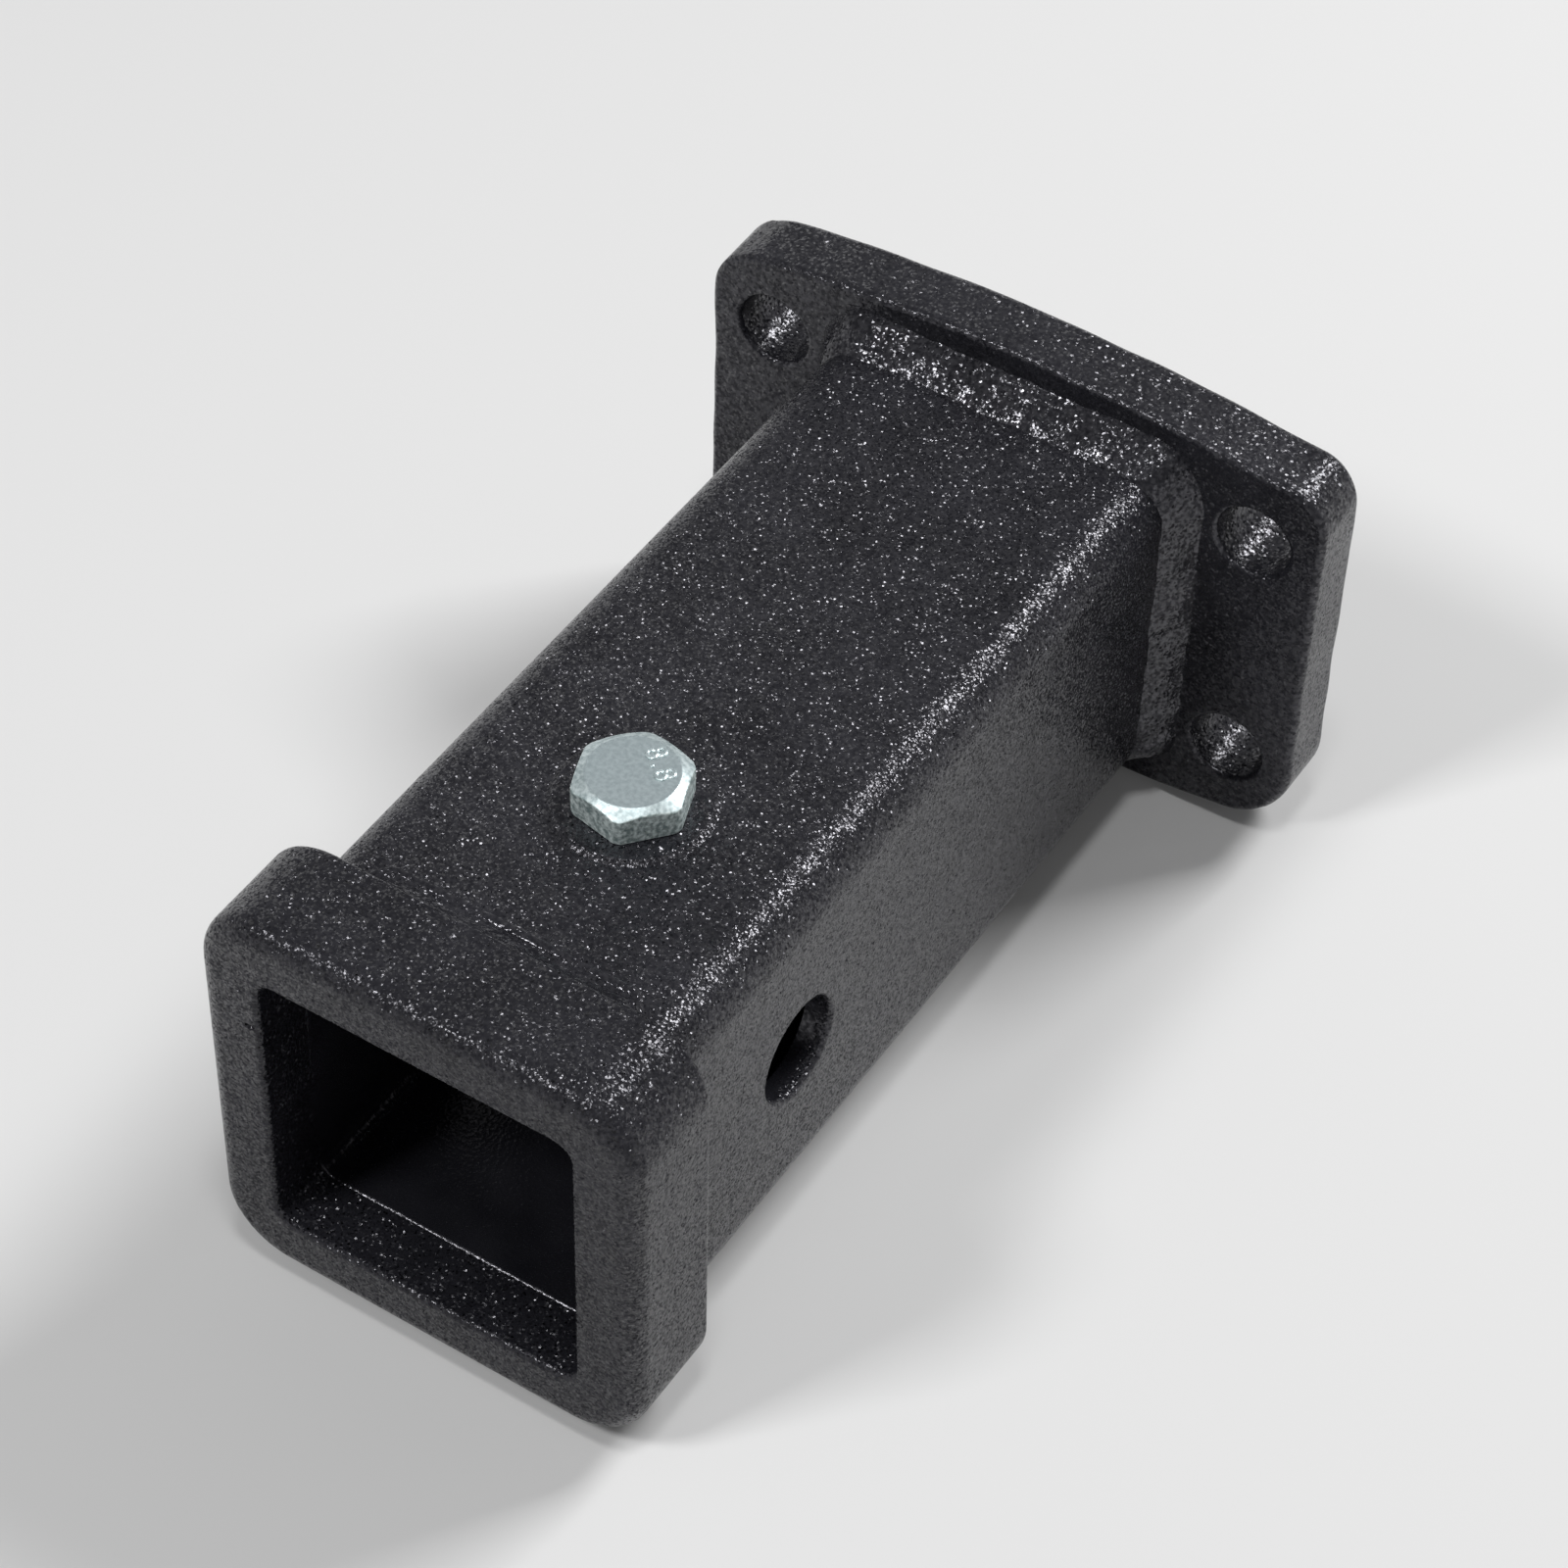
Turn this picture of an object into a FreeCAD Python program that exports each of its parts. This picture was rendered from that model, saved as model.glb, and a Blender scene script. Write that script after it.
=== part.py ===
import FreeCAD, Part
import math
import os

from FreeCAD import Vector

# Bolt-on receiver tube, sizes in millimetres.
# X runs to the right, the mouth looks along -Y and Z is up.
# The origin is the middle of the flange's back face.

# Whole part
overall_length = 166.7

# Square mouth for a two inch bar
mouth_width = 51.6
mouth_corner_r = 3.0
mouth_edge_chamfer = 0.7
lip_depth = 10.0

# Collar ring around the mouth
collar_wall = 5.6
collar_length = 18.0
collar_corner_r = 11.5
collar_front_r = 3.4
collar_rear_chamfer = 0.7
socket_clearance = 0.3

# Square tube
tube_width = 60.8
tube_wall = 4.4
tube_corner_r = 7.0

# Pin hole through both sides of the tube
pin_hole_d = 16.6
pin_from_mouth = 49.7
pin_rim_chamfer = 0.6

# Four bolt holes in the flange
hole_spacing_x = 85.7
hole_spacing_z = 44.45
hole_d = 13.0
hole_rim_chamfer = 0.6

# Flange plate, reaching past the hole centres by the margins
hole_side_margin = 11.65
hole_end_margin = 12.175
flange_bow = 4.5
flange_corner_r = 8.0
flange_thickness = 11.8
flange_edge_chamfer = 0.6

# Weld beads
flange_weld_up = 4.2
flange_weld_along = 6.5
collar_weld_up = 4.9
collar_weld_along = 6.4
flange_weld_bulge = 0.6
weld_relief = 0.3

# Clamp bolt, M10 with a hexagon head
clamp_from_mouth = 52.8
clamp_d = 10.0
clamp_length = 16.0
clamp_tip_chamfer = 1.2
clamp_clearance = 0.2
head_flats = 16.0
head_corners = 17.8
head_height = 6.2
head_turn = 49.6
head_chamfer_d = 13.6
head_chamfer_angle = 30.0
washer_face_d = 14.6
washer_face_height = 0.6

# Places worked out from the sizes
mouth_y = -overall_length
lip_end_y = mouth_y + lip_depth
collar_rear_y = mouth_y + collar_length
flange_front_y = -flange_thickness
flange_width = hole_spacing_x + 2 * hole_side_margin
flange_side_height = hole_spacing_z + 2 * hole_end_margin
pin_y = mouth_y + pin_from_mouth
clamp_y = mouth_y + clamp_from_mouth
tube_half = tube_width / 2
socket_width = tube_width + 2 * socket_clearance
collar_width = socket_width + 2 * collar_wall
tube_flat = tube_half - tube_corner_r
tube_inner_width = tube_width - 2 * tube_wall
tube_inner_r = tube_corner_r - tube_wall

right = Vector(1, 0, 0)
rear = Vector(0, 1, 0)
up = Vector(0, 0, 1)


def square_bar(width, corner_r, y_from, y_to):
    # Bar with a square section and rounded edges, lying along Y
    half = width / 2
    bar = Part.makeBox(width, y_to - y_from, width, Vector(-half, y_from, -half))
    long_edges = [e for e in bar.Edges if abs(e.tangentAt(e.FirstParameter).y) > 0.9]
    return bar.makeFillet(corner_r, long_edges)


def edges_at_y(shape, y, inside):
    # Edges lying in one cross plane whose middle passes the test
    found = []
    for edge in shape.Edges:
        box = edge.BoundBox
        flat = abs(box.YMin - y) < 1e-4 and abs(box.YMax - y) < 1e-4
        if flat and inside(edge.CenterOfMass):
            found.append(edge)
    return found


def make_collar():
    body = square_bar(collar_width, collar_corner_r, mouth_y, collar_rear_y)
    body = body.makeFillet(collar_front_r, edges_at_y(body, mouth_y, lambda c: True))
    body = body.makeChamfer(collar_rear_chamfer, edges_at_y(body, collar_rear_y, lambda c: True))
    mouth = square_bar(mouth_width, mouth_corner_r, mouth_y, collar_rear_y)
    socket_r = tube_corner_r + socket_clearance
    socket = square_bar(socket_width, socket_r, lip_end_y, collar_rear_y)
    body = body.cut(mouth).cut(socket)
    reach = mouth_width / 2 + 0.1
    lip = edges_at_y(body, mouth_y, lambda c: max(abs(c.x), abs(c.z)) < reach)
    return body.makeChamfer(mouth_edge_chamfer, lip)


def hole_tool(radius, rim_chamfer, start, direction, length):
    # Straight drill with a widened rim at its start
    drill = Part.makeCylinder(radius, length, start, direction)
    rim = Part.makeCone(radius + rim_chamfer, radius, rim_chamfer, start, direction)
    return drill.fuse(rim)


def make_tube():
    body = square_bar(tube_width, tube_corner_r, lip_end_y, flange_front_y)
    body = body.cut(square_bar(tube_inner_width, tube_inner_r, lip_end_y, flange_front_y))
    for side in (-1, 1):
        start = Vector(side * tube_half, pin_y, 0)
        body = body.cut(hole_tool(pin_hole_d / 2, pin_rim_chamfer, start, right * -side, tube_half))
    tapped = Part.makeCylinder(
        clamp_d / 2 + clamp_clearance, tube_half, Vector(0, clamp_y, 0), up
    )
    return body.cut(tapped)


def flange_outline():
    # Straight sides, gently bowed top and bottom, round corners
    half_w = flange_width / 2
    half_h = flange_side_height / 2
    bow_r = (half_w ** 2 + flange_bow ** 2) / (2 * flange_bow)
    bow_z = half_h + flange_bow - bow_r
    corner_x = half_w - flange_corner_r
    corner_z = bow_z + math.sqrt((bow_r - flange_corner_r) ** 2 - corner_x ** 2)
    turn = math.atan2(corner_z - bow_z, corner_x)
    half_turn = turn / 2
    touch = Vector(bow_r * math.cos(turn), 0, bow_z + bow_r * math.sin(turn))
    corner = Vector(
        corner_x + flange_corner_r * math.cos(half_turn), 0,
        corner_z + flange_corner_r * math.sin(half_turn),
    )
    side = Vector(half_w, 0, corner_z)
    crown = Vector(0, 0, half_h + flange_bow)

    def flip(p, sx, sz):
        return Vector(p.x * sx, 0, p.z * sz)

    return Part.Wire([
        Part.Arc(flip(touch, -1, 1), crown, touch).toShape(),
        Part.Arc(touch, corner, side).toShape(),
        Part.makeLine(side, flip(side, 1, -1)),
        Part.Arc(flip(side, 1, -1), flip(corner, 1, -1), flip(touch, 1, -1)).toShape(),
        Part.Arc(flip(touch, 1, -1), flip(crown, 1, -1), flip(touch, -1, -1)).toShape(),
        Part.Arc(flip(touch, -1, -1), flip(corner, -1, -1), flip(side, -1, -1)).toShape(),
        Part.makeLine(flip(side, -1, -1), flip(side, -1, 1)),
        Part.Arc(flip(side, -1, 1), flip(corner, -1, 1), flip(touch, -1, 1)).toShape(),
    ])


def make_flange():
    plate = Part.Face(flange_outline()).extrude(rear * -flange_thickness)
    rims = edges_at_y(plate, 0, lambda c: True)
    rims += edges_at_y(plate, flange_front_y, lambda c: True)
    plate = plate.makeChamfer(flange_edge_chamfer, rims)
    for side in (-1, 1):
        for level in (-1, 1):
            x = side * hole_spacing_x / 2
            z = level * hole_spacing_z / 2
            start = Vector(x, flange_front_y, z)
            plate = plate.cut(hole_tool(hole_d / 2, hole_rim_chamfer, start, rear, flange_thickness))
    return plate


def bead_face(root, out, along, leg_out, leg_along, bulge):
    # Three-sided weld section, flat-faced or with a slightly bulging face
    top = root + out * leg_out
    toe = root + along * leg_along
    if not bulge:
        return Part.Face(Part.makePolygon([root, top, toe, root]))
    swell = out * leg_along + along * leg_out
    swell.normalize()
    crown = (top + toe) * 0.5 + swell * bulge
    return Part.Face(Part.Wire([
        Part.makeLine(root, top),
        Part.Arc(top, crown, toe).toShape(),
        Part.makeLine(toe, root),
    ]))


def flat_frames():
    # Outward and sideways directions of the tube's four flats
    frames = []
    for turn in range(4):
        spin = FreeCAD.Rotation(rear, 90 * turn)
        frames.append((spin.multVec(up), spin.multVec(right)))
    return frames


def make_flange_weld():
    # One run of weld around the tube where it stands on the flange
    runs = []
    reliefs = []
    for out, side in flat_frames():
        start = out * tube_half - side * tube_flat + rear * flange_front_y
        end = start + side * (2 * tube_flat)
        pivot = end - out * tube_corner_r
        faces = [
            bead_face(root, out, rear * -1, flange_weld_up, flange_weld_along, flange_weld_bulge)
            for root in (start, end)
        ]
        runs.append(faces[0].extrude(end - start))
        runs.append(faces[1].revolve(pivot, rear, 90))
        reliefs.append(Part.makeCylinder(
            tube_corner_r + weld_relief, flange_weld_along, pivot, rear * -1
        ))
    bead = runs[0].multiFuse(runs[1:]).removeSplitter()
    return bead.cut(reliefs)


def make_collar_weld():
    # A run of weld on each flat of the tube behind the collar, with tapered ends
    runs = []
    half_run = tube_flat - collar_weld_along
    for out, side in flat_frames():
        root = out * tube_half + rear * collar_rear_y
        start = root - side * half_run
        end = root + side * half_run
        first, last = [
            bead_face(at, out, rear, collar_weld_up, collar_weld_along, 0) for at in (start, end)
        ]
        run = first.extrude(end - start)
        run = run.fuse(first.revolve(start, out, 90)).fuse(last.revolve(end, out, -90))
        runs.append(run.removeSplitter())
    return Part.makeCompound(runs)


def make_clamp_bolt():
    # Hexagon head with a chamfered top, washer face and plain shank
    seat_z = tube_half
    hex_r = head_flats / 2 / math.cos(math.radians(30))
    corners = []
    for i in range(7):
        a = math.radians(head_turn + 60 * i)
        corners.append(Vector(hex_r * math.cos(a), hex_r * math.sin(a), washer_face_height))
    block = Part.Face(Part.makePolygon(corners)).extrude(up * (head_height - washer_face_height))
    wide = head_corners / 2
    narrow = head_chamfer_d / 2
    drop = (wide - narrow) * math.tan(math.radians(head_chamfer_angle))
    turned = Part.Face(Part.makePolygon([
        Vector(0, 0, 0),
        Vector(wide, 0, 0),
        Vector(wide, 0, head_height - drop),
        Vector(narrow, 0, head_height),
        Vector(0, 0, head_height),
        Vector(0, 0, 0),
    ])).revolve(Vector(0, 0, 0), up, 360)
    head = block.common(turned)
    shank_r = clamp_d / 2
    shank = Part.Face(Part.makePolygon([
        Vector(0, 0, -clamp_length),
        Vector(shank_r - clamp_tip_chamfer, 0, -clamp_length),
        Vector(shank_r, 0, clamp_tip_chamfer - clamp_length),
        Vector(shank_r, 0, 0),
        Vector(washer_face_d / 2, 0, 0),
        Vector(washer_face_d / 2, 0, washer_face_height),
        Vector(0, 0, washer_face_height),
        Vector(0, 0, -clamp_length),
    ])).revolve(Vector(0, 0, 0), up, 360)
    bolt = head.fuse(shank).removeSplitter()
    bolt.translate(Vector(0, clamp_y, seat_z))
    return bolt


os.makedirs("parts", exist_ok=True)
pieces = {
    "receiver_tube": make_tube(),
    "collar": make_collar(),
    "mounting_flange": make_flange(),
    "flange_weld": make_flange_weld(),
    "collar_weld": make_collar_weld(),
    "clamp_bolt": make_clamp_bolt(),
}
for name, shape in pieces.items():
    shape.exportStep("parts/" + name + ".step")
    box = shape.BoundBox
    print(name, shape.isValid(), len(shape.Solids), round(shape.Volume), box)
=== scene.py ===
import bpy
import bmesh
import math
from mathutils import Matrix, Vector, noise


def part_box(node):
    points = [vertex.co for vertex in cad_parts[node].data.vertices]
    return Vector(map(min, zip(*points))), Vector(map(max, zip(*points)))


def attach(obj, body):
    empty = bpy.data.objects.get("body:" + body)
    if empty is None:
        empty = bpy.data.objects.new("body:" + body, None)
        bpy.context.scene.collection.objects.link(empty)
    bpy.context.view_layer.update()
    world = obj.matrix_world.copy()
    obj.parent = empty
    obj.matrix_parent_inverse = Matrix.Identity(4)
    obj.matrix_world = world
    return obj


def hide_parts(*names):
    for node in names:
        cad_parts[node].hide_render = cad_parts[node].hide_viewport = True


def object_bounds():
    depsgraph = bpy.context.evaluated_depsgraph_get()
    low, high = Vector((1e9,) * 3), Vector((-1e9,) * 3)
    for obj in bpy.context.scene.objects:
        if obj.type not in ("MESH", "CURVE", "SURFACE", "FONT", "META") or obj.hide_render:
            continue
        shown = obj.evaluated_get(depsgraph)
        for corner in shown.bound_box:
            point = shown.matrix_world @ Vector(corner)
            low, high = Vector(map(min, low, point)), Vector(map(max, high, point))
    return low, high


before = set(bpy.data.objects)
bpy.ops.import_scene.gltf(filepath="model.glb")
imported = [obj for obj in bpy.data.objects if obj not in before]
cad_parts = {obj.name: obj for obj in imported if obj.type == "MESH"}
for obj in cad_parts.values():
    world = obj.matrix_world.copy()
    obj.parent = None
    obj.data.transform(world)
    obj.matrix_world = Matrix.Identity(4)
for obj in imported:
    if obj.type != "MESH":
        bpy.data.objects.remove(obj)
cadLow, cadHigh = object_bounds()
mm = 0.001
near = 0.01 * mm  # places closer than this count as one
slack = 0.05 * mm
aligned = 0.99  # cosine above which two directions count as one
right, rear, up = Vector((1, 0, 0)), Vector((0, 1, 0)), Vector((0, 0, 1))
print("frame loaded,", len(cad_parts), "CAD nodes")


# small shop tools

def inMetres(sizes):
    return {name: size * mm for name, size in sizes.items()}


def clearSelection():
    if bpy.context.mode != "OBJECT":
        bpy.ops.object.mode_set(mode="OBJECT")
    bpy.ops.object.select_all(action="DESELECT")


def takeUp(piece):  # the only selected and active object
    clearSelection()
    piece.select_set(True)
    bpy.context.view_layer.objects.active = piece


def settle(name=None):  # newest object, unturned and unscaled at the origin
    bpy.ops.object.transform_apply(location=True, rotation=True, scale=True)
    if name:
        bpy.context.object.name = name
    return bpy.context.object


def startBlock(name, low, high):
    clearSelection()
    middle = [(a + b) / 2 for a, b in zip(low, high)]
    bpy.ops.mesh.primitive_cube_add(size=1, location=middle, scale=[b - a for a, b in zip(low, high)])
    return settle(name)


def startRod(name, radius, start, axis, length, sides=64, turn=0):
    clearSelection()
    spin = axis.to_track_quat("Z", "Y").to_euler()
    spin.z += turn
    bpy.ops.mesh.primitive_cylinder_add(
        vertices=sides, radius=radius, depth=length,
        location=Vector(start) + axis * (length / 2), rotation=spin)
    return settle(name)


def startOutline(name, points):  # closed loop of edges through the points
    clearSelection()
    bpy.ops.mesh.primitive_circle_add(vertices=len(points), radius=1, fill_type="NOTHING")
    piece = bpy.context.object
    piece.name = name
    bpy.ops.object.mode_set(mode="EDIT")
    work = bmesh.from_edit_mesh(piece.data)
    for vert, point in zip(work.verts, points):
        vert.co = point
    bmesh.update_edit_mesh(piece.data)
    return piece


def pick(piece, kind, test):  # selects by place or normal and stays in edit mode
    takeUp(piece)
    bpy.ops.object.mode_set(mode="EDIT")
    bpy.ops.mesh.select_mode(type=kind)
    bpy.ops.mesh.select_all(action="DESELECT")
    work = bmesh.from_edit_mesh(piece.data)
    for part in {"EDGE": work.edges, "FACE": work.faces}[kind]:
        if test(part):
            part.select_set(True)
    bmesh.update_edit_mesh(piece.data)


def pickAll(piece):
    takeUp(piece)
    bpy.ops.object.mode_set(mode="EDIT")
    bpy.ops.mesh.select_all(action="SELECT")


def roundEdges(piece, test, radius, steps):
    pick(piece, "EDGE", test)
    bpy.ops.mesh.bevel(offset=radius, segments=steps, affect="EDGES")
    bpy.ops.object.mode_set(mode="OBJECT")


def taperTop(piece, rise, share, about):  # raises the top face and draws it in
    pick(piece, "FACE", lambda f: f.normal.z > aligned)
    bpy.ops.mesh.extrude_region_move(TRANSFORM_OT_translate={"value": (0, 0, rise)})
    bpy.ops.transform.resize(value=(share, share, 1), center_override=about)
    bpy.ops.object.mode_set(mode="OBJECT")


def carve(piece, cutter, how="DIFFERENCE"):
    takeUp(piece)
    cut = piece.modifiers.new("cut", "BOOLEAN")
    cut.operation = how
    cut.solver = "EXACT"
    cut.object = cutter
    bpy.ops.object.modifier_apply(modifier="cut")
    bpy.data.objects.remove(cutter, do_unlink=True)


def closeUp(piece):  # merges seams and turns the faces outwards
    pickAll(piece)
    bpy.ops.mesh.remove_doubles(threshold=near)
    bpy.ops.mesh.select_all(action="SELECT")
    bpy.ops.mesh.normals_make_consistent(inside=False)
    bpy.ops.object.mode_set(mode="OBJECT")


def chip(piece, spot, how="DIFFERENCE"):  # small dent, or small lump with a union
    clearSelection()
    middle = Vector(spot["at"]) * mm
    bpy.ops.mesh.primitive_ico_sphere_add(subdivisions=3, radius=spot["r"] * mm, location=middle)
    carve(piece, settle(), how)


def nick(piece, spot):  # flat chip that faces a given way
    clearSelection()
    faces = Vector(spot["faces"]).normalized()
    middle = Vector(spot["at"]) * mm + faces * spot["size"] / 2 * mm
    turn = faces.to_track_quat("Z", "Y").to_euler()
    bpy.ops.mesh.primitive_cube_add(size=spot["size"] * mm, location=middle, rotation=turn)
    carve(piece, settle())


def alongY(edge):
    run = edge.verts[1].co - edge.verts[0].co
    return abs(run.y) > aligned * run.length


def lyingAtY(edge, y):
    return all(abs(v.co.y - y) < near for v in edge.verts)


def onSquare(edge, y, half):  # rim of a square hole in a cross face
    return lyingAtY(edge, y) and all(max(abs(v.co.x), abs(v.co.z)) < half + slack for v in edge.verts)


def onRing(edge, centre, axis, radius):  # both ends on one circle
    for vert in edge.verts:
        off = vert.co - Vector(centre)
        rise = off.dot(axis)
        if abs(rise) > near or abs((off - axis * rise).length - radius) > 2 * near:
            return False
    return True


def squareBar(name, half, cornerR, yFrom, yTo, steps):
    bar = startBlock(name, (-half, yFrom, -half), (half, yTo, half))
    roundEdges(bar, alongY, cornerR, steps)
    return bar


def handOver(piece, body, material, node=None, angle=35):
    takeUp(piece)
    bpy.ops.object.shade_smooth_by_angle(angle=math.radians(angle))
    weighted = piece.modifiers.new("weighted", "WEIGHTED_NORMAL")
    weighted.keep_sharp = True
    bpy.ops.object.modifier_apply(modifier="weighted")
    piece.data.materials.clear()
    piece.data.materials.append(material)
    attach(piece, body)
    if node:
        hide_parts(node)
    print("made", piece.name, len(piece.data.polygons), "faces")


# node tools

def fillSockets(tree, node, sockets):  # each takes a constant or another node's output
    for socket, value in sockets.items():
        if isinstance(value, bpy.types.NodeSocket):
            tree.links.new(value, node.inputs[socket])
        else:
            node.inputs[socket].default_value = value


def addNode(tree, kind, sockets=None, **values):
    node = tree.nodes.new(kind)
    for name, value in values.items():
        setattr(node, name, value)
    fillSockets(tree, node, sockets or {})
    return node


def addMath(tree, operation, *terms):
    return addNode(tree, "ShaderNodeMath", dict(enumerate(terms)), operation=operation).outputs[0]


def addVector(tree, operation, *terms):
    return addNode(tree, "ShaderNodeVectorMath", dict(enumerate(terms)), operation=operation).outputs[0]


def addRange(tree, value, fromMin, fromMax, toMin, toMax):
    return addNode(tree, "ShaderNodeMapRange", {
        "Value": value, "From Min": fromMin, "From Max": fromMax, "To Min": toMin, "To Max": toMax,
    }).outputs["Result"]


def addTint(tree, share, first, second):
    sockets = {"Factor": share, "A": first, "B": second}
    return addNode(tree, "ShaderNodeMix", sockets, data_type="RGBA").outputs["Result"]


def startMaterial(name):
    material = bpy.data.materials.new(name)
    material.use_nodes = True
    return material, material.node_tree, material.node_tree.nodes["Principled BSDF"]


# black coat, sprayed and baked

coatBase = {
    "dark": (0.005, 0.005, 0.0065, 1), "light": (0.021, 0.021, 0.026, 1), "glint": (0.94, 0.93, 1, 1),
    # painted shade: the lowered reflection level in the wrinkle's hollows stands in for their self-shadowing
    "wrinkleDetail": 1, "hollow": 0.35, "crest": 0.65, "hollowShadedShine": 0.2,
    "cloud": 90, "cloudDetail": 3, "rub": 0.1,
    "settledFrom": 0.4, "hanging": 0.7,  # more grit settles on faces that look up
    "seed": 5, "flatUpTo": 0.3, "steepFrom": 0.6, "flat": 0.2, "steep": 1.15,  # grains lie flat or stand up
}
coats = {
    "tube": {
        "grain": 1500, "depth": 0.1, "grit": 3600, "tilt": 0.8, "smooth": 0.16, "gloss": 0.7, "bore": 28.2},
    "collar": {
        "grain": 1400, "depth": 0.1, "grit": 3200, "tilt": 0.85, "smooth": 0.16, "gloss": 0.5, "bore": 0},
    "flange": {
        "grain": 1400, "depth": 0.06, "grit": 2800, "tilt": 0.45, "smooth": 0.18, "gloss": 0.66, "bore": 0},
    "weld": {
        "grain": 1400, "depth": 0.08, "grit": 2600, "tilt": 0.42, "smooth": 0.11, "gloss": 0.85, "bore": 0},
}


def makeCoatGroup():  # fine wrinkle, tilted grit, cloudy tint and painted shade in the reflection of the wrinkle's hollows
    group = bpy.data.node_groups.new("wrinkleCoat", "ShaderNodeTree")
    inputs = {
        "Grain": "Float", "Grit": "Float", "Tilt": "Float", "Smooth": "Float", "Gloss": "Float",
        "Bore": "Float", "Dark": "Color", "Light": "Color",
    }
    outputs = {"Height": "Float", "Normal": "Vector", "Tint": "Color", "Roughness": "Float", "Shine": "Float"}
    for way, sockets in (("INPUT", inputs), ("OUTPUT", outputs)):
        for name, kind in sockets.items():
            group.interface.new_socket(name, in_out=way, socket_type="NodeSocket" + kind)
    into = addNode(group, "NodeGroupInput").outputs
    place = addNode(group, "ShaderNodeTexCoord").outputs["Object"]
    normal = addNode(group, "ShaderNodeNewGeometry").outputs["Normal"]
    base = coatBase

    wrinkle = addNode(group, "ShaderNodeTexNoise", {
        "Vector": place, "Scale": into["Grain"], "Detail": base["wrinkleDetail"]}).outputs["Fac"]
    shadedShine = addRange(  # painted shade: the hollows of the wrinkle reflect less, standing in for the shade that falls in them
        group, wrinkle, base["hollow"], base["crest"], base["hollowShadedShine"], into["Gloss"])

    grit = addNode(group, "ShaderNodeTexVoronoi", {"Vector": place, "Scale": into["Grit"]}).outputs
    chance = addNode(group, "ShaderNodeTexWhiteNoise", {"Vector": grit["Position"]}).outputs["Color"]
    both = addVector(group, "ADD", grit["Color"], chance)
    lean = addVector(group, "SUBTRACT", both, (1, 1, 1))  # each grain of grit leans its own way
    luck = addNode(
        group, "ShaderNodeTexWhiteNoise", {"Vector": grit["Position"], "W": base["seed"]},
        noise_dimensions="4D").outputs["Value"]
    steep = addRange(group, luck, base["flatUpTo"], base["steepFrom"], base["flat"], base["steep"])
    upward = addNode(group, "ShaderNodeSeparateXYZ", {"Vector": normal}).outputs["Z"]
    settled = addRange(group, upward, 0, base["settledFrom"], base["hanging"], 1)
    where = addNode(group, "ShaderNodeSeparateXYZ", {"Vector": place}).outputs
    across = addMath(group, "ABSOLUTE", where["X"])
    upright = addMath(group, "ABSOLUTE", where["Z"])
    widest = addMath(group, "MAXIMUM", across, upright)
    outside = addMath(group, "GREATER_THAN", widest, into["Bore"])  # the bore stays smooth
    most = addMath(group, "MULTIPLY", settled, into["Tilt"])
    mixed = addMath(group, "MULTIPLY", most, steep)
    amount = addMath(group, "MULTIPLY", outside, mixed)
    leaning = addNode(
        group, "ShaderNodeVectorMath", {0: lean, "Scale": amount}, operation="SCALE").outputs[0]
    tipped = addVector(group, "NORMALIZE", addVector(group, "ADD", normal, leaning))

    cloud = addNode(group, "ShaderNodeTexNoise", {
        "Vector": place, "Scale": base["cloud"], "Detail": base["cloudDetail"]}).outputs["Fac"]
    addNode(group, "NodeGroupOutput", {
        "Height": wrinkle, "Normal": tipped, "Tint": addTint(group, cloud, into["Dark"], into["Light"]),
        "Roughness": addMath(group, "MULTIPLY_ADD", cloud, base["rub"], into["Smooth"]), "Shine": shadedShine,
    })
    return group


def makeCoat(name, group, spec):
    material, tree, shader = startMaterial(name)
    sockets = {socket: spec[socket.lower()] for socket in ("Grain", "Grit", "Tilt", "Smooth", "Gloss")}
    sockets.update({"Bore": spec["bore"] * mm, "Dark": coatBase["dark"], "Light": coatBase["light"]})
    coat = addNode(tree, "ShaderNodeGroup", sockets, node_tree=group).outputs
    bump = addNode(tree, "ShaderNodeBump", {
        "Strength": 1, "Distance": spec["depth"] * mm, "Height": coat["Height"], "Normal": coat["Normal"]})
    fillSockets(tree, shader, {
        "Normal": bump.outputs["Normal"], "Base Color": coat["Tint"], "Roughness": coat["Roughness"],
        # the reflection level carries painted shade in the wrinkle's hollows
        "Specular IOR Level": coat["Shine"], "Specular Tint": coatBase["glint"],
    })
    return material


# zinc plating, smooth on top and cloudy on the pressed sides; the sides' lighter tint is partly painted sheen

zincFinish = {
    "patch": 1500, "patchDetail": 4, "patchFrom": 0.36, "patchTo": 0.64, "sideUpTo": 0.65, "topFrom": 0.98,
    "topDull": (0.38, 0.45, 0.47, 1), "topPale": (0.48, 0.56, 0.58, 1), "topRough": 0.27,
    # painted sheen: the side tints, the pale one most, are raised to light up the hex sides beyond what the
    # lamps give them
    "sideDull": (0.26, 0.34, 0.34, 1), "sidePaleSheen": (0.85, 0.95, 0.94, 1), "sideRough": 0.6,
    "grit": 2600, "gritDepth": 0.03, "gritStrength": 0.5, "metallic": 0.55,
}


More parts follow.
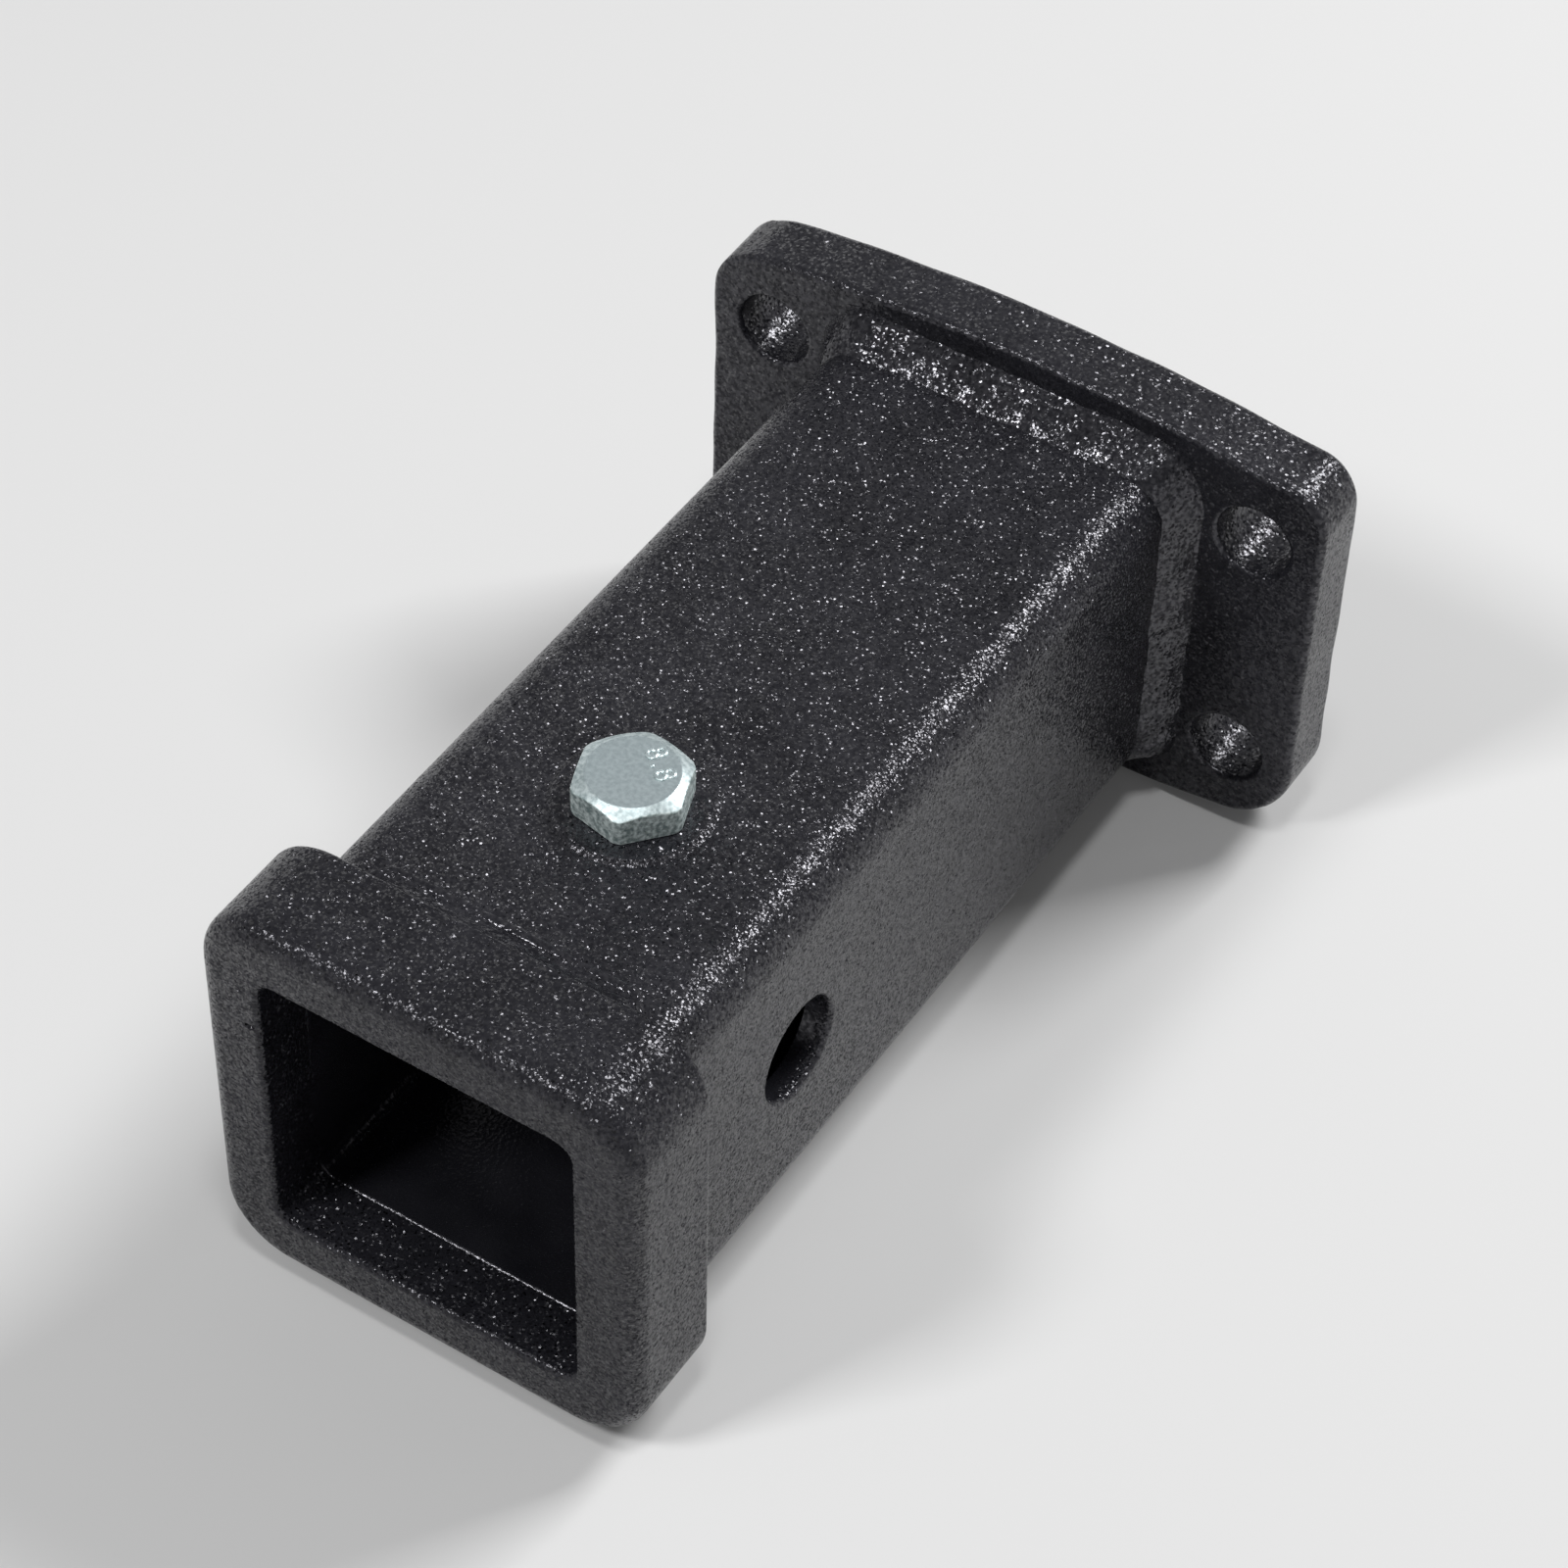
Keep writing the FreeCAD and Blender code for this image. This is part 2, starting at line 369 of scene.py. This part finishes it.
def makeZinc(name):
    material, tree, shader = startMaterial(name)
    spec = zincFinish
    place = addNode(tree, "ShaderNodeTexCoord").outputs["Object"]
    normal = addNode(tree, "ShaderNodeNewGeometry").outputs["Normal"]
    patch = addNode(tree, "ShaderNodeTexNoise", {
        "Vector": place, "Scale": spec["patch"], "Detail": spec["patchDetail"]}).outputs["Fac"]
    cloud = addRange(tree, patch, spec["patchFrom"], spec["patchTo"], 0, 1)
    upward = addNode(tree, "ShaderNodeSeparateXYZ", {"Vector": normal}).outputs["Z"]
    onTop = addRange(tree, upward, spec["sideUpTo"], spec["topFrom"], 0, 1)
    # colour picked by face direction: the lighter side tint is partly real cloudy zinc and partly painted
    # sheen on the hex sides
    side = addTint(tree, cloud, spec["sideDull"], spec["sidePaleSheen"])
    top = addTint(tree, cloud, spec["topDull"], spec["topPale"])
    grit = addNode(tree, "ShaderNodeTexNoise", {"Vector": place, "Scale": spec["grit"]}).outputs["Fac"]
    bump = addNode(tree, "ShaderNodeBump", {
        "Strength": spec["gritStrength"], "Distance": spec["gritDepth"] * mm, "Height": grit})
    fillSockets(tree, shader, {
        "Metallic": spec["metallic"], "Base Color": addTint(tree, onTop, side, top),
        "Roughness": addRange(tree, onTop, 0, 1, spec["sideRough"], spec["topRough"]),
        "Normal": bump.outputs["Normal"],
    })
    return material


coatGroup = makeCoatGroup()
finish = {name: makeCoat(name + "Coat", coatGroup, spec) for name, spec in coats.items()}
finish["zinc"] = makeZinc("zincPlate")
print("finishes ready")


# square tube with its pin hole, tapped hole and the low ring around that

tube = {
    "cornerR": 7.0, "wall": 4.4, "pinY": -117.0, "pinR": 8.3, "pinRim": 1.0, "tappedR": 5.2, "tappedRim": 0.5,
    "boreRim": 1.0, "bossR": 12.3, "bossTopR": 11.3, "bossHeight": 0.55,
}


def makeTube():
    low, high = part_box("receiver_tube")
    boltLow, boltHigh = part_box("clamp_bolt")
    boltY = (boltLow.y + boltHigh.y) / 2
    spec = inMetres(tube)
    boreHalf = high.x - spec["wall"]
    body = squareBar("receiverTube", high.x, spec["cornerR"], low.y, high.y, steps=14)
    carve(body, squareBar(
        "bore", boreHalf, spec["cornerR"] - spec["wall"], low.y - mm, high.y + mm, steps=6))
    boss = startRod("boss", spec["bossR"], (0, boltY, high.z - mm), up, mm, sides=96)
    taperTop(boss, spec["bossHeight"], spec["bossTopR"] / spec["bossR"], (0, boltY, high.z))
    carve(body, boss, "UNION")
    pinStart = (low.x - mm, spec["pinY"], 0)
    carve(body, startRod("pin", spec["pinR"], pinStart, right, 2 * high.x + 2 * mm, sides=72))
    carve(body, startRod("tap", spec["tappedR"], (0, boltY, 0), up, high.z + mm, sides=48))
    for side in (low.x, high.x):
        pinRing = ((side, spec["pinY"], 0), right, spec["pinR"])
        roundEdges(body, lambda e: onRing(e, *pinRing), spec["pinRim"], steps=4)
    tapRing = ((0, boltY, high.z + spec["bossHeight"]), up, spec["tappedR"])
    roundEdges(body, lambda e: onRing(e, *tapRing), spec["tappedRim"], steps=2)
    roundEdges(body, lambda e: onSquare(e, low.y, boreHalf), spec["boreRim"], steps=4)
    handOver(body, "receiver", finish["tube"], "receiver_tube", angle=24)


# collar ring around the mouth

collar = {
    "cornerR": 11.5, "frontR": 3.4, "rearR": 0.9, "mouthHalf": 25.8, "mouthR": 3.0, "mouthRim": 1.0,
    "lip": 10.0, "socketGap": 0.3,
}
collarDents = ({"at": (35.7, -166.1, -8.8), "r": 0.8},)
collarNicks = (
    {"at": (-27.9, -166.45, 15.3), "faces": (0.25, -0.6, 0.8), "size": 1.0},
    {"at": (-27.0, -166.5, 15.5), "faces": (-0.2, -0.6, 0.8), "size": 0.8},
)


def makeCollar():
    low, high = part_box("collar")
    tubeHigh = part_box("receiver_tube")[1]
    spec = inMetres(collar)
    socketHalf = tubeHigh.x + spec["socketGap"]
    socketR = tube["cornerR"] * mm + spec["socketGap"]
    body = squareBar("mouthCollar", high.x, spec["cornerR"], low.y, high.y, steps=18)
    roundEdges(body, lambda e: lyingAtY(e, low.y), spec["frontR"], steps=8)
    roundEdges(body, lambda e: lyingAtY(e, high.y), spec["rearR"], steps=3)
    carve(body, squareBar("mouth", spec["mouthHalf"], spec["mouthR"], low.y - mm, high.y + mm, steps=8))
    carve(body, squareBar("socket", socketHalf, socketR, low.y + spec["lip"], high.y + mm, steps=12))
    roundEdges(body, lambda e: onSquare(e, low.y, spec["mouthHalf"]), spec["mouthRim"], steps=4)
    for dent in collarDents:
        chip(body, dent)
    for spot in collarNicks:
        nick(body, spot)
    handOver(body, "receiver", finish["collar"], "collar")


# flange plate, cut out by torch

flange = {
    "sideHalf": 34.4, "bow": 4.5, "cornerR": 8.0, "edgeR": 1.1, "backR": 1.8, "holeX": 42.85, "holeZ": 22.225,
    "holeR": 6.2, "holeRim": 0.85, "waver": 0.35, "waverLength": 9.0,
}
flangeWaver = {"middle": 0.5, "swing": 0.9}  # shares of the deepest waver
flangeCorners = ((1, 1, 6.5), (1, -1, 11.0), (-1, 1, 8.0), (-1, -1, 8.0))  # side, level, radius
flangeDents = ({"at": (54.6, -12.0, -5.3), "r": 0.8},)
flangeBurrs = ({"at": (23.2, -2.0, 37.2), "r": 0.85}, {"at": (13.6, -1.9, 37.8), "r": 0.75})


def inQuarter(edge, side, level):
    return all(v.co.x * side > 0 and v.co.z * level > 0 for v in edge.verts)


def makeFlange():
    low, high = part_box("mounting_flange")
    spec = inMetres(flange)
    plate = startBlock("flangePlate", (low.x, low.y, -spec["sideHalf"]), (high.x, high.y, spec["sideHalf"]))
    for side, level, cornerR in flangeCorners:
        roundEdges(plate, lambda e: alongY(e) and inQuarter(e, side, level), cornerR * mm, steps=14)
    pick(plate, "EDGE", lambda e: not alongY(e) and e.calc_length() > spec["sideHalf"])
    bpy.ops.mesh.subdivide(number_cuts=40)
    work = bmesh.from_edit_mesh(plate.data)
    for vert in work.verts:
        rise = spec["bow"] * (1 - (vert.co.x / high.x) ** 2)
        vert.co.z *= 1 + rise / spec["sideHalf"]
        drift = flangeWaver["middle"] + flangeWaver["swing"] * noise.noise(vert.co / spec["waverLength"])
        pull = spec["waver"] * min(max(drift, 0), 1)
        if abs(vert.co.x) > high.x - spec["cornerR"]:
            vert.co.x -= math.copysign(pull, vert.co.x)
        if abs(vert.co.x) < high.x - spec["cornerR"] / 2:
            vert.co.z -= math.copysign(pull, vert.co.z)
    bmesh.update_edit_mesh(plate.data)
    for rim, rimR in ((low.y, spec["edgeR"]), (high.y, spec["backR"])):
        roundEdges(plate, lambda e: lyingAtY(e, rim), rimR, steps=5)
    for x in (-spec["holeX"], spec["holeX"]):
        for z in (-spec["holeZ"], spec["holeZ"]):
            drillStart = (x, low.y - mm, z)
            carve(plate, startRod("drill", spec["holeR"], drillStart, rear, high.y - low.y + 2 * mm))
            holeRing = ((x, low.y, z), rear, spec["holeR"])
            roundEdges(plate, lambda e: onRing(e, *holeRing), spec["holeRim"], steps=6)
    for dent in flangeDents:
        chip(plate, dent)
    for burr in flangeBurrs:
        chip(plate, burr, "UNION")
    handOver(plate, "receiver", finish["flange"], "mounting_flange")


# tools for the weld beads

def beadSection(root, out, along, legOut, legAlong, bulge, sink, steps):
    top = root + out * legOut - along * sink
    toe = root + along * legAlong - out * sink
    swell = (out * legAlong + along * legOut).normalized()
    points = [root - out * sink - along * sink]
    for i in range(steps + 1):
        t = i / steps
        points.append(top.lerp(toe, t) + swell * bulge * 4 * t * (1 - t))
    return points


def startRun(name, points, length, cuts):  # outline drawn out along X and cut into short lengths
    run = startOutline(name, points)
    bpy.ops.mesh.select_all(action="SELECT")
    bpy.ops.mesh.extrude_region_move(TRANSFORM_OT_translate={"value": (length, 0, 0)})
    pick(run, "EDGE", lambda e: e.calc_length() > length / 2)
    bpy.ops.mesh.subdivide(number_cuts=cuts)
    return run


def fourSides(piece):  # repeats the piece on each flat of the tube
    pickAll(piece)
    bpy.ops.mesh.spin(steps=3, dupli=True, angle=math.radians(270), center=(0, 0, 0), axis=rear)
    closeUp(piece)


# weld bead around the tube at the flange

flangeBead = {
    "up": 4.2, "along": 6.5, "bulge": 0.3, "sink": 0.5, "cornerR": 7.0, "lump": 0.55, "lumpLength": 5.0,
    "ripple": 0.16, "rippleLength": 4.4, "driftLength": 7.0,
}
flangeRipple = {"drift": 2, "middle": 0.6}  # wander of the ripples in radians, and their mean height
beadSpots = (  # place, reach and height of starts and stops along the run
    {"at": (33.0, -14.5, -27.0), "reach": 3.2, "height": 0.8},
    {"at": (31.0, -14.5, -33.0), "reach": 4.0, "height": -1.5},
    {"at": (34.0, -14.0, 25.5), "reach": 2.6, "height": -0.7},
    {"at": (28.0, -15.5, 32.5), "reach": 3.5, "height": 0.6},
    {"at": (-27.0, -14.5, 33.0), "reach": 4.0, "height": 0.5},
)


def placeRound(co, half):  # distance travelled round a square tube
    if abs(co.x) > abs(co.z):
        return (2 if co.x > 0 else 6) * half - math.copysign(co.z, co.x * co.z)
    return (0 if co.z > 0 else 4) * half + math.copysign(co.x, co.x * co.z)


def makeFlangeBead():
    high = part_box("receiver_tube")[1]
    spec = inMetres(flangeBead)
    flat = high.x - spec["cornerR"]
    root = Vector((-flat, high.y, high.z))
    points = beadSection(
        root, up, -rear, spec["up"], spec["along"], spec["bulge"], spec["sink"], steps=12)
    bead = startRun("flangeBead", points, 2 * flat, cuts=70)
    pick(bead, "EDGE", lambda e: all(v.co.x > flat - near for v in e.verts))
    bpy.ops.mesh.spin(steps=20, angle=math.radians(-90), center=(flat, 0, flat), axis=rear)
    fourSides(bead)
    for vert in bead.data.vertices:
        travel = math.pi * placeRound(vert.co, high.x) / spec["rippleLength"]
        wander = flangeRipple["drift"] * noise.noise(vert.co / spec["driftLength"])
        wave = abs(math.sin(travel + wander))
        lump = noise.noise(vert.co / spec["lumpLength"])
        grow = spec["lump"] * lump + spec["ripple"] * (wave - flangeRipple["middle"])
        for spot in beadSpots:
            away = (vert.co / mm - Vector(spot["at"])).length / spot["reach"]
            grow += spot["height"] * mm * math.exp(-away * away)
        vert.co += vert.normal * grow
    handOver(bead, "receiver", finish["weld"], "flange_weld", angle=60)


# four short beads behind the collar

collarBead = {
    "up": 4.9, "along": 5.4, "hollow": -0.7, "sink": 0.4, "halfRun": 19.0, "lump": 0.3, "lumpLength": 7.0,
    "ridge": 0.26, "ridgeWidth": 2.0,
}
ridgeProfile = ((0.15, 0), (0.5, 1), (1, -1))  # share of the ridge's width, and lift
endSquash = 0.6  # how far the round ends reach, as a share of the bead's length along the tube


def makeCollarBeads():
    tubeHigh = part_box("receiver_tube")[1]
    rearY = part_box("collar")[1].y
    spec = inMetres(collarBead)
    halfRun = spec["halfRun"]
    root = Vector((-halfRun, rearY, tubeHigh.z))
    points = beadSection(root, up, rear, spec["up"], spec["along"], spec["hollow"], spec["sink"], steps=10)
    for share, lift in ridgeProfile:
        points.append(root + rear * (spec["along"] + share * spec["ridgeWidth"]) + up * spec["ridge"] * lift)
    bead = startRun("collarBeads", points, 2 * halfRun, cuts=50)
    for end, turn in ((halfRun, 90), (-halfRun, -90)):
        pick(bead, "EDGE", lambda e: all(abs(v.co.x - end) < near for v in e.verts))
        bpy.ops.mesh.spin(steps=16, angle=math.radians(turn), center=(end, rearY, 0), axis=up)
    closeUp(bead)
    pickAll(bead)
    bpy.ops.mesh.fill_holes(sides=0)
    bpy.ops.object.mode_set(mode="OBJECT")
    for vert in bead.data.vertices:
        past = abs(vert.co.x) - halfRun
        if past > 0:
            vert.co.x -= math.copysign(past * (1 - endSquash), vert.co.x)
    fourSides(bead)
    for vert in bead.data.vertices:
        vert.co += vert.normal * spec["lump"] * noise.noise(vert.co / spec["lumpLength"])
        vert.co.y = max(vert.co.y, rearY - spec["sink"])
    handOver(bead, "receiver", finish["weld"], "collar_weld", angle=60)


# zinc-plated clamp bolt

bolt = {
    "flats": 16.0, "corners": 17.8, "headHeight": 6.2, "chamferD": 13.6, "washerD": 14.6, "washerHeight": 0.6,
    "shankR": 5.0, "shankLength": 16.0, "pitch": 1.5, "threadDepth": 0.75, "tipChamfer": 1.2, "edgeR": 0.18,
}
boltTurn = {"head": 49.6, "chamfer": 30.0, "hexagon": 30.0, "sharpFrom": 15.0}  # degrees
threadShape = {"slope": 1.3, "crest": 0.15}
gradeMark = {
    "text": "8.8", "size": 4.4, "spread": 1.25, "raise": 0.26, "slope": 0.26, "thin": 0.2, "flatten": 0.6,
    "x": 2.3, "y": 3.2, "sink": 0.02, "turn": -39.4,
}


def makeHead(centre, seat, spec):
    angles = {name: math.radians(angle) for name, angle in boltTurn.items()}
    hexR = spec["flats"] / 2 / math.cos(angles["hexagon"])
    under = seat + spec["washerHeight"]
    top = seat + spec["headHeight"]
    turn = angles["head"] - angles["hexagon"]
    head = startRod("clampBolt", hexR, centre + up * under, up, top - under, sides=6, turn=turn)
    drop = (spec["corners"] - spec["chamferD"]) / 2 * math.tan(angles["chamfer"])
    turned = startRod("turned", spec["corners"] / 2, centre + up * seat, up, top - seat - drop, sides=96)
    taperTop(turned, drop, spec["chamferD"] / spec["corners"], (0, centre.y, top))
    carve(head, turned, "INTERSECT")
    roundEdges(head, lambda e: e.calc_face_angle(0) > angles["sharpFrom"], spec["edgeR"], steps=2)
    washerDepth = 2 * spec["washerHeight"]  # half of it inside the head
    washer = startRod("washer", spec["washerD"] / 2, centre + up * seat, up, washerDepth, sides=72)
    carve(head, washer, "UNION")
    return head


def makeShank(centre, seat, spec):
    tip = seat - spec["shankLength"]
    shank = startRod("shank", spec["shankR"], centre + up * tip, up, spec["shankLength"], sides=60)
    pick(shank, "EDGE", lambda e: abs(e.verts[0].co.z - e.verts[1].co.z) > spec["shankR"])
    bpy.ops.mesh.subdivide(number_cuts=96)
    work = bmesh.from_edit_mesh(shank.data)
    for vert in work.verts:
        off = vert.co - centre
        rise = off.z - tip
        lap = (rise / spec["pitch"] - math.atan2(off.y, off.x) / (2 * math.pi)) % 1
        depth = min(1, max(0, abs(2 * lap - 1) * threadShape["slope"] - threadShape["crest"]))
        radius = spec["shankR"] - spec["threadDepth"] * depth
        radius = min(radius, spec["shankR"] - spec["tipChamfer"] + rise)
        vert.co = centre + Vector((off.x, off.y, 0)).normalized() * radius + up * off.z
    bmesh.update_edit_mesh(shank.data)
    bpy.ops.object.mode_set(mode="OBJECT")
    return shank


def makeMark(centre, top):  # raised strength figures on the head
    clearSelection()
    place = (gradeMark["x"] * mm, centre.y + gradeMark["y"] * mm, top - gradeMark["sink"] * mm)
    bpy.ops.object.text_add(location=place, rotation=(0, 0, math.radians(gradeMark["turn"])))
    mark = bpy.context.object
    mark.name = "strengthMark"
    mark.data.body = gradeMark["text"]
    mark.data.size = gradeMark["size"] * mm
    mark.data.space_character = gradeMark["spread"]
    mark.data.align_x = "CENTER"
    mark.data.align_y = "CENTER"
    mark.data.extrude = gradeMark["raise"] * mm
    mark.data.bevel_depth = gradeMark["slope"] * mm
    mark.data.bevel_resolution = 0
    mark.data.offset = -gradeMark["thin"] * mm
    bpy.ops.object.convert(target="MESH")
    mark.scale.z = gradeMark["flatten"]
    settle()
    closeUp(mark)
    handOver(mark, "bolt", finish["zinc"])


def makeBolt():
    low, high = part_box("clamp_bolt")
    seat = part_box("receiver_tube")[1].z
    spec = inMetres(bolt)
    centre = Vector((0, (low.y + high.y) / 2, 0))
    head = makeHead(centre, seat, spec)
    shank = makeShank(centre, seat, spec)
    takeUp(head)
    shank.select_set(True)
    bpy.ops.object.join()
    handOver(head, "bolt", finish["zinc"], "clamp_bolt", angle=30)
    makeMark(centre, high.z)


makeTube()
makeCollar()
makeFlange()
makeFlangeBead()
makeCollarBeads()
makeBolt()
print("object dressed")


# studio

studio = {
    "ambient": 0.14, "lampDistance": 1.5, "wallTop": 0.08, "darkFrom": 0.28, "ceiling": 0.34,
    "floorSize": 6, "floorGrey": 0.7, "floorRough": 0.9, "floorShine": 0.1,
    "floorWhite": 0.03, "fadeFrom": 0.9, "fadeTo": 1.8,
}
lamps = {
    "rearBox": {"from": (0.3, 0.62, 0.72), "wide": 0.5, "high": 0.34, "power": 16.0},
    "frontBox": {"from": (-0.3, -0.56, 0.77), "wide": 0.28, "high": 0.28, "power": 9.5},
    "topBox": {"from": (0.124, -0.19, 0.968), "wide": 0.2, "high": 0.2, "power": 4.5},
}
photoCamera = {
    "location": (0.2378078, -0.4607371, 0.4837958), "turn": (43.0887, -1.2262, 32.9056), "lens": 102.1796,
    "sensor": 36,
}


def seenRays(tree):  # rays that show the background: camera, glossy and transmission
    path = addNode(tree, "ShaderNodeLightPath").outputs
    seen = addMath(tree, "MAXIMUM", path["Is Camera Ray"], path["Is Glossy Ray"])
    return addMath(tree, "MAXIMUM", seen, path["Is Transmission Ray"])


def addFloor():
    clearSelection()
    bpy.ops.mesh.primitive_plane_add(size=studio["floorSize"], location=(0, 0, cadLow.z))
    floor = settle("studioFloor")
    material, tree, shader = startMaterial("paleFloor")
    grey = studio["floorGrey"]
    fillSockets(tree, shader, {
        "Base Color": (grey, grey, grey, 1), "Roughness": studio["floorRough"],
        "Specular IOR Level": studio["floorShine"],
    })
    place = addNode(tree, "ShaderNodeTexCoord").outputs["Object"]
    away = addNode(tree, "ShaderNodeVectorMath", {0: place}, operation="LENGTH").outputs["Value"]
    fade = addRange(  # the floor runs out into the white walls
        tree, away, studio["fadeFrom"], studio["fadeTo"], studio["floorWhite"], 1)
    glow = addNode(tree, "ShaderNodeEmission")
    mix = addNode(tree, "ShaderNodeMixShader", {
        "Fac": addMath(tree, "MULTIPLY", seenRays(tree), fade), 1: shader.outputs[0], 2: glow.outputs[0]})
    fillSockets(tree, tree.nodes["Material Output"], {"Surface": mix.outputs[0]})
    floor.data.materials.append(material)


def addSky():  # white walls under a dim ceiling
    world = bpy.data.worlds.new("studioWorld")
    bpy.context.scene.world = world
    world.use_nodes = True
    tree = world.node_tree
    way = addNode(tree, "ShaderNodeTexCoord").outputs["Generated"]
    upward = addNode(tree, "ShaderNodeSeparateXYZ", {"Vector": way}).outputs["Z"]
    walls = addRange(tree, upward, studio["wallTop"], studio["darkFrom"], 1, studio["ceiling"])
    level = addNode(tree, "ShaderNodeMix", {
        "Factor": seenRays(tree), "A": studio["ambient"], "B": walls}, data_type="FLOAT")
    fillSockets(tree, tree.nodes["Background"], {
        "Color": (1, 1, 1, 1), "Strength": level.outputs["Result"]})


def addLamp(name, spec):
    clearSelection()
    middle = (cadLow + cadHigh) / 2
    away = Vector(spec["from"]).normalized()
    bpy.ops.object.light_add(type="AREA", location=middle + away * studio["lampDistance"])
    lamp = bpy.context.object
    lamp.name = name
    lamp.rotation_euler = away.to_track_quat("Z", "Y").to_euler()
    lamp.data.shape = "RECTANGLE"
    lamp.data.size = spec["wide"]
    lamp.data.size_y = spec["high"]
    lamp.data.energy = spec["power"]


def addCamera():
    clearSelection()
    turn = [math.radians(a) for a in photoCamera["turn"]]
    bpy.ops.object.camera_add(location=photoCamera["location"], rotation=turn)
    camera = bpy.context.object
    camera.name = "photoCamera"
    camera.data.sensor_fit = "HORIZONTAL"
    camera.data.sensor_width = photoCamera["sensor"]
    camera.data.lens = photoCamera["lens"]
    bpy.context.scene.camera = camera


addFloor()
addSky()
for lampName, lampSpec in lamps.items():
    addLamp(lampName, lampSpec)
addCamera()
bpy.context.scene.view_settings.view_transform = "Standard"
print("studio ready")
